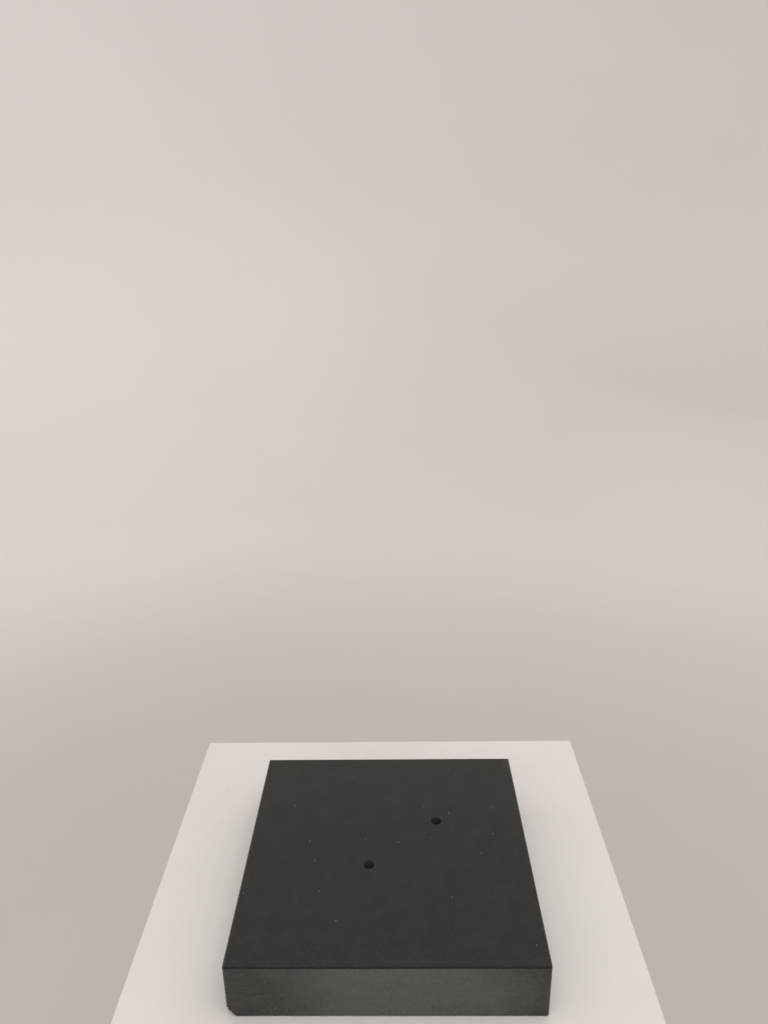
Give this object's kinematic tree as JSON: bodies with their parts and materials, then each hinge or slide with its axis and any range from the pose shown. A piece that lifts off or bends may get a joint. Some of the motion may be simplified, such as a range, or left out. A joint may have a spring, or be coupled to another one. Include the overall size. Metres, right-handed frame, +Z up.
{
  "type": "display plinth",
  "caption": "Tall white box plinth with a polished black stone slab on top, levelling feet and a locking access door at the back.",
  "frame": {"origin": "on the floor under the middle of the box", "axes": "+Z up, -Y towards the front, +X to the right when facing the front; the access door is on the +Y side"},
  "size_m": [0.6, 0.6, 0.822],
  "materials": {
    "white_paint": "satin white paint on board",
    "pine": "planed, unfinished",
    "birch_plywood": "sanded, unfinished",
    "black_granite": "polished",
    "zinc_steel": "bright zinc plated",
    "lock_chrome": "polished",
    "brass": "turned",
    "white_nylon": "moulded",
    "black_nylon": "moulded",
    "neoprene": "matt",
    "seal_foam": "matt foam",
    "canvas": "woven cotton canvas"
  },
  "bodies": {
    "plinth": {"front_panel": "white_paint", "left_panel": "white_paint", "right_panel": "white_paint", "back_panel": "white_paint", "top_panel": "white_paint", "deck_board": "birch_plywood", "base_board": "birch_plywood", "corner_post_front_left": "pine", "corner_post_front_right": "pine", "corner_post_back_left": "pine", "corner_post_back_right": "pine", "upper_rail_front": "pine", "lower_rail_front": "pine", "upper_rail_back": "pine", "lower_rail_back": "pine", "upper_rail_left": "pine", "lower_rail_left": "pine", "upper_rail_right": "pine", "lower_rail_right": "pine", "deck_bearer_left": "pine", "deck_bearer_right": "pine", "door_stop_batten": "pine", "panel_screws": "zinc_steel", "deck_screws": "zinc_steel", "base_screws": "zinc_steel", "batten_screws": "zinc_steel", "keeper_screws": "zinc_steel", "lock_keeper": "zinc_steel", "slab_bolts": "zinc_steel", "slab_bolt_washers": "zinc_steel", "foot_inserts": "zinc_steel", "foot_lock_nuts": "zinc_steel", "pivot_bushes": "brass", "slab_anchors": "brass", "door_seal": "seal_foam", "stone_slab": "black_granite", "slab_cushion": "neoprene", "sandbag_lower_left": "canvas", "sandbag_lower_right": "canvas", "sandbag_upper_left": "canvas", "sandbag_upper_right": "canvas"},
    "door": {"access_door": "white_paint", "pivot_pin_upper": "zinc_steel", "pivot_pin_lower": "zinc_steel", "pivot_spring": "zinc_steel", "pivot_washer": "white_nylon", "lock_housing": "lock_chrome", "lock_nut": "zinc_steel"},
    "lock": {"lock_plug": "lock_chrome", "lock_cam": "zinc_steel", "lock_cam_screw": "zinc_steel"},
    "foot_front_left": {"foot_pad_front_left": "black_nylon"},
    "spindle_front_left": {"foot_spindle_front_left": "zinc_steel"},
    "foot_front_right": {"foot_pad_front_right": "black_nylon"},
    "spindle_front_right": {"foot_spindle_front_right": "zinc_steel"},
    "foot_back_left": {"foot_pad_back_left": "black_nylon"},
    "spindle_back_left": {"foot_spindle_back_left": "zinc_steel"},
    "foot_back_right": {"foot_pad_back_right": "black_nylon"},
    "spindle_back_right": {"foot_spindle_back_right": "zinc_steel"}
  },
  "joints": [
    {"name": "door_swing", "type": "hinge", "parent": "plinth", "child": "door", "pos_m": [0.172, 0.291, 0.37], "axis": [0, 0, -1], "range_deg": [0, 110]},
    {"name": "lock_turn", "type": "hinge", "parent": "door", "child": "lock", "pos_m": [-0.165, 0.285, 0.37], "axis": [0, 1, 0], "range_deg": [0, 90]},
    {"name": "foot_travel_front_left", "type": "slide", "parent": "plinth", "child": "foot_front_left", "axis": [0, 0, -1], "range_m": [-0.005, 0.015]},
    {"name": "spindle_turn_front_left", "type": "hinge", "parent": "foot_front_left", "child": "spindle_front_left", "pos_m": [-0.215, -0.215, 0.02], "axis": [0, 0, -1], "range_deg": [-1029, 3086]},
    {"name": "foot_travel_front_right", "type": "slide", "parent": "plinth", "child": "foot_front_right", "axis": [0, 0, -1], "range_m": [-0.005, 0.015]},
    {"name": "spindle_turn_front_right", "type": "hinge", "parent": "foot_front_right", "child": "spindle_front_right", "pos_m": [0.215, -0.215, 0.02], "axis": [0, 0, -1], "range_deg": [-1029, 3086]},
    {"name": "foot_travel_back_left", "type": "slide", "parent": "plinth", "child": "foot_back_left", "axis": [0, 0, -1], "range_m": [-0.005, 0.015]},
    {"name": "spindle_turn_back_left", "type": "hinge", "parent": "foot_back_left", "child": "spindle_back_left", "pos_m": [-0.215, 0.215, 0.02], "axis": [0, 0, -1], "range_deg": [-1029, 3086]},
    {"name": "foot_travel_back_right", "type": "slide", "parent": "plinth", "child": "foot_back_right", "axis": [0, 0, -1], "range_m": [-0.005, 0.015]},
    {"name": "spindle_turn_back_right", "type": "hinge", "parent": "foot_back_right", "child": "spindle_back_right", "pos_m": [0.215, 0.215, 0.02], "axis": [0, 0, -1], "range_deg": [-1029, 3086]}
  ],
  "couplings": [
    {"joint": "spindle_turn_front_left", "follows": "foot_travel_front_left", "rad_per_m": 3590.4},
    {"joint": "spindle_turn_front_right", "follows": "foot_travel_front_right", "rad_per_m": 3590.4},
    {"joint": "spindle_turn_back_left", "follows": "foot_travel_back_left", "rad_per_m": 3590.4},
    {"joint": "spindle_turn_back_right", "follows": "foot_travel_back_right", "rad_per_m": 3590.4}
  ]
}
